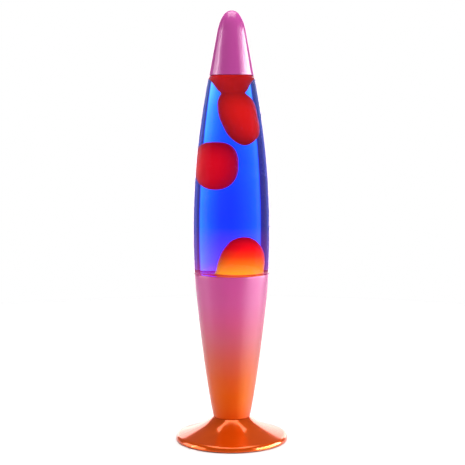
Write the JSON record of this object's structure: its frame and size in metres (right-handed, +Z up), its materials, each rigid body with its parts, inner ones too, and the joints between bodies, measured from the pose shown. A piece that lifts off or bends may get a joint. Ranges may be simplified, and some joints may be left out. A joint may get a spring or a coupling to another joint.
{
  "type": "lava lamp",
  "caption": "Table lava lamp: flared foot, conical body with a screw-in reflector bulb, lift-out bottle of liquid and wax, lift-off cap.",
  "frame": {"origin": "centre of the foot's underside, on the surface that the lamp stands on", "axes": "+Z up through the cap's tip, -Y the front, +Y the side of the cord inlet"},
  "size_m": [0.105, 0.105, 0.4],
  "materials": {
    "orange_lacquer": "gloss lacquer",
    "pink_lacquer": "satin lacquer, shading to orange at the body's foot",
    "black_plastic": "matt",
    "black_rubber": "matt",
    "zinc_steel": "zinc plated",
    "brass": "bright",
    "porcelain": "glazed",
    "bottle_glass": "clear, polished",
    "bulb_glass": "clear, polished",
    "blue_liquid": "clear liquid",
    "red_wax": "soft wax, lit from below"
  },
  "bodies": {
    "base": {"foot": "orange_lacquer", "rubber_foot_ring": "black_rubber", "bottom_cover": "black_plastic", "bottom_washer": "zinc_steel", "bottom_nut": "zinc_steel", "foot_nut": "zinc_steel", "body_washer": "zinc_steel", "body_nut": "zinc_steel", "threaded_tube": "zinc_steel", "base_body": "pink_lacquer", "cord_grommet": "black_rubber", "lampholder_dome": "black_plastic", "lampholder_sleeve": "black_plastic", "lampholder_core": "porcelain", "lampholder_thread_shell": "brass", "lampholder_contact": "brass", "terminal_screw_left": "zinc_steel", "terminal_screw_right": "zinc_steel"},
    "bottle": {"glass_globe": "bottle_glass", "globe_liquid": "blue_liquid", "wax_bottom_mound": "red_wax", "wax_top_drop": "red_wax", "wire_coil": "zinc_steel", "crown_cap": "zinc_steel", "crown_liner": "black_rubber"},
    "floating_wax": {"wax_floating_blob": "red_wax"},
    "cap": {"top_cap": "pink_lacquer"},
    "lamp_tip": {"bulb_tip_contact": "zinc_steel"},
    "lamp": {"bulb_insulator": "black_plastic", "bulb_thread_shell": "zinc_steel", "bulb_envelope": "bulb_glass", "bulb_stem": "bulb_glass", "bulb_lead_left": "zinc_steel", "bulb_lead_right": "zinc_steel", "bulb_filament": "zinc_steel"}
  },
  "joints": [
    {"name": "bottle_lift", "type": "slide", "parent": "base", "child": "bottle", "axis": [0, 0, 1], "range_m": [0, 0.045]},
    {"name": "cap_lift", "type": "slide", "parent": "bottle", "child": "cap", "axis": [0, 0, 1], "range_m": [0, 0.045]},
    {"name": "wax_rise", "type": "slide", "parent": "bottle", "child": "floating_wax", "axis": [0, 0, 1], "range_m": [-0.04, 0.002], "deforming": ["globe_liquid"]},
    {"name": "lamp_rise", "type": "slide", "parent": "base", "child": "lamp_tip", "axis": [0, 0, 1], "range_m": [0, 0.0113]},
    {"name": "lamp_turn", "type": "hinge", "parent": "lamp_tip", "child": "lamp", "pos_m": [0, 0, 0.0461], "axis": [0, 0, 1], "range_deg": [0, 1440]}
  ],
  "couplings": [
    {"joint": "lamp_rise", "follows": "lamp_turn", "m_per_rad": 0.00044882}
  ]
}
